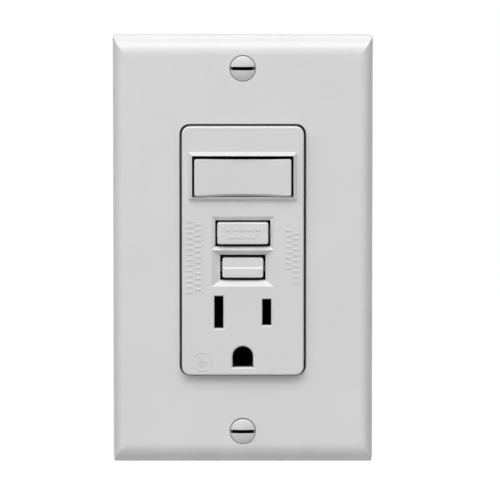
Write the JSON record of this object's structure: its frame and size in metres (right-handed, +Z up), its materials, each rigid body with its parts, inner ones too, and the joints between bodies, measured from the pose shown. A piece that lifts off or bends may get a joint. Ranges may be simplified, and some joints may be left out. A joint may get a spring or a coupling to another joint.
{
  "type": "gfci outlet",
  "caption": "Wall outlet with ground-fault protection: rocker switch over reset and test buttons and a grounded receptacle, with bevelled plate, contacts and trip gear inside.",
  "frame": {"origin": "centre of the device on the wall plane, midway between the box screws", "axes": "+Z up with the switch above and the ground slot below, +Y into the wall, the front faces -Y, +X to the viewer's right"},
  "size_m": [0.069, 0.0363, 0.1142],
  "materials": {
    "plate_plastic": "satin moulded thermoplastic",
    "cover_plastic": "satin moulded thermoplastic",
    "rocker_plastic": "satin moulded thermoplastic",
    "button_plastic": "satin moulded thermoplastic",
    "painted_screw": "enamelled to match the plate",
    "plunger_plastic": "natural acetal",
    "spring_steel": "bright spring wire",
    "steel": "plain steel",
    "strap_steel": "galvanised",
    "bronze": "phosphor bronze strip",
    "brass": "rolled brass strip",
    "copper": "bare copper",
    "contact_silver": "silver alloy contact",
    "green_screw": "green dyed",
    "carrier_plastic": "black moulded thermoset",
    "latch_plastic": "natural nylon",
    "bobbin_plastic": "glass-filled nylon",
    "coil_copper": "enamelled winding",
    "board_laminate": "green glass-epoxy laminate",
    "chip_epoxy": "black epoxy",
    "resistor_paint": "beige lacquer",
    "capacitor_film": "dipped epoxy",
    "capacitor_sleeve": "dark sleeve",
    "varistor_coat": "blue epoxy coat",
    "housing_plastic": "moulded thermoplastic",
    "label_paper": "plain label",
    "zinc_screw": "zinc plated",
    "brass_screw": "brass plated",
    "nickel_screw": "nickel plated",
    "fibre": "vulcanised fibre"
  },
  "bodies": {
    "device": {"wall_plate": "plate_plastic", "plate_screws": "painted_screw", "front_cover": "cover_plastic", "reset_spring": "spring_steel", "test_return_spring": "spring_steel", "mounting_strap": "strap_steel", "ground_contact": "bronze", "ground_rivets": "brass", "ground_screw": "green_screw", "contact_carrier": "carrier_plastic", "hot_bus": "brass", "neutral_bus": "brass", "switch_common_terminal": "brass", "switch_contact_terminal": "brass", "fixed_contact_pads": "contact_silver", "line_conductors": "copper", "line_terminals": "brass", "solenoid_bobbin": "bobbin_plastic", "solenoid_coil": "coil_copper", "solenoid_frame": "steel", "plunger_spring": "spring_steel", "sensor_housing": "bobbin_plastic", "fault_sensor_ring": "coil_copper", "neutral_sensor_ring": "coil_copper", "circuit_board": "board_laminate", "control_chip": "chip_epoxy", "thyristor": "chip_epoxy", "board_resistors": "resistor_paint", "film_capacitor": "capacitor_film", "electrolytic_capacitor": "capacitor_sleeve", "varistor": "varistor_coat", "rear_housing": "housing_plastic", "rating_label": "label_paper", "assembly_screws": "zinc_screw", "brass_terminal_screws": "brass_screw", "silver_terminal_screws": "nickel_screw", "clamp_plates": "zinc_screw", "box_screws": "zinc_screw", "screw_retainers": "fibre"},
    "rocker": {"rocker": "rocker_plastic", "rocker_plunger": "plunger_plastic", "rocker_spring": "spring_steel"},
    "reset_button": {"reset_button": "button_plastic", "reset_stem": "steel"},
    "test_button": {"test_button": "button_plastic"},
    "test_blade": {"test_blade": "bronze"},
    "switch_blade": {"switch_blade": "bronze", "switch_blade_pad": "contact_silver"},
    "contact_arm_hot": {"contact_arm_hot": "bronze", "arm_pad_hot": "contact_silver"},
    "contact_arm_neutral": {"contact_arm_neutral": "bronze", "arm_pad_neutral": "contact_silver"},
    "latch_block": {"latch_block": "latch_plastic"},
    "latch_plate": {"latch_plate": "steel"},
    "solenoid_plunger": {"solenoid_plunger": "steel"}
  },
  "joints": [
    {"name": "rocker_tilt", "type": "hinge", "parent": "device", "child": "rocker", "pos_m": [0, -0.0067, 0.01977], "axis": [1, 0, 0], "range_deg": [0, 10]},
    {"name": "switch_blade_rock", "type": "hinge", "parent": "device", "child": "switch_blade", "pos_m": [0, 0.0033, 0.01977], "axis": [1, 0, 0], "range_deg": [-14, 0]},
    {"name": "reset_press", "type": "slide", "parent": "device", "child": "reset_button", "axis": [0, 1, 0], "range_m": [0, 0.0018], "stiffness_N_per_m": 500, "springref_m": -0.003, "deforming": ["reset_spring"]},
    {"name": "latch_slide", "type": "slide", "parent": "device", "child": "latch_block", "axis": [0, 1, 0], "range_m": [0, 0.0018]},
    {"name": "latch_plate_lift", "type": "slide", "parent": "latch_block", "child": "latch_plate", "axis": [0, 0, 1], "range_m": [0, 0.0013]},
    {"name": "arm_hot_swing", "type": "hinge", "parent": "device", "child": "contact_arm_hot", "pos_m": [0.007, 0.0069, -0.009], "axis": [-1, 0, 0], "range_deg": [0, 6.9]},
    {"name": "arm_neutral_swing", "type": "hinge", "parent": "device", "child": "contact_arm_neutral", "pos_m": [-0.007, 0.0069, -0.009], "axis": [-1, 0, 0], "range_deg": [0, 6.9]},
    {"name": "test_press", "type": "slide", "parent": "device", "child": "test_button", "axis": [0, 1, 0], "range_m": [0, 0.0015], "stiffness_N_per_m": 400, "springref_m": -0.002, "deforming": ["test_return_spring"]},
    {"name": "test_blade_bend", "type": "hinge", "parent": "device", "child": "test_blade", "pos_m": [0.0092, 0.0029, -0.0045], "axis": [0, 0, -1], "range_deg": [0, 8.7]},
    {"name": "plunger_lift", "type": "slide", "parent": "device", "child": "solenoid_plunger", "axis": [0, 0, 1], "range_m": [0, 0.0013], "stiffness_N_per_m": 200, "springref_m": -0.001, "deforming": ["plunger_spring"]}
  ],
  "couplings": [
    {"joint": "switch_blade_rock", "follows": "rocker_tilt", "ratio": -1.4},
    {"joint": "latch_slide", "follows": "reset_press", "ratio": 1},
    {"joint": "arm_hot_swing", "follows": "reset_press", "rad_per_m": 66},
    {"joint": "arm_neutral_swing", "follows": "reset_press", "rad_per_m": 66},
    {"joint": "latch_plate_lift", "follows": "plunger_lift", "ratio": 1},
    {"joint": "test_blade_bend", "follows": "test_press", "rad_per_m": 100}
  ]
}
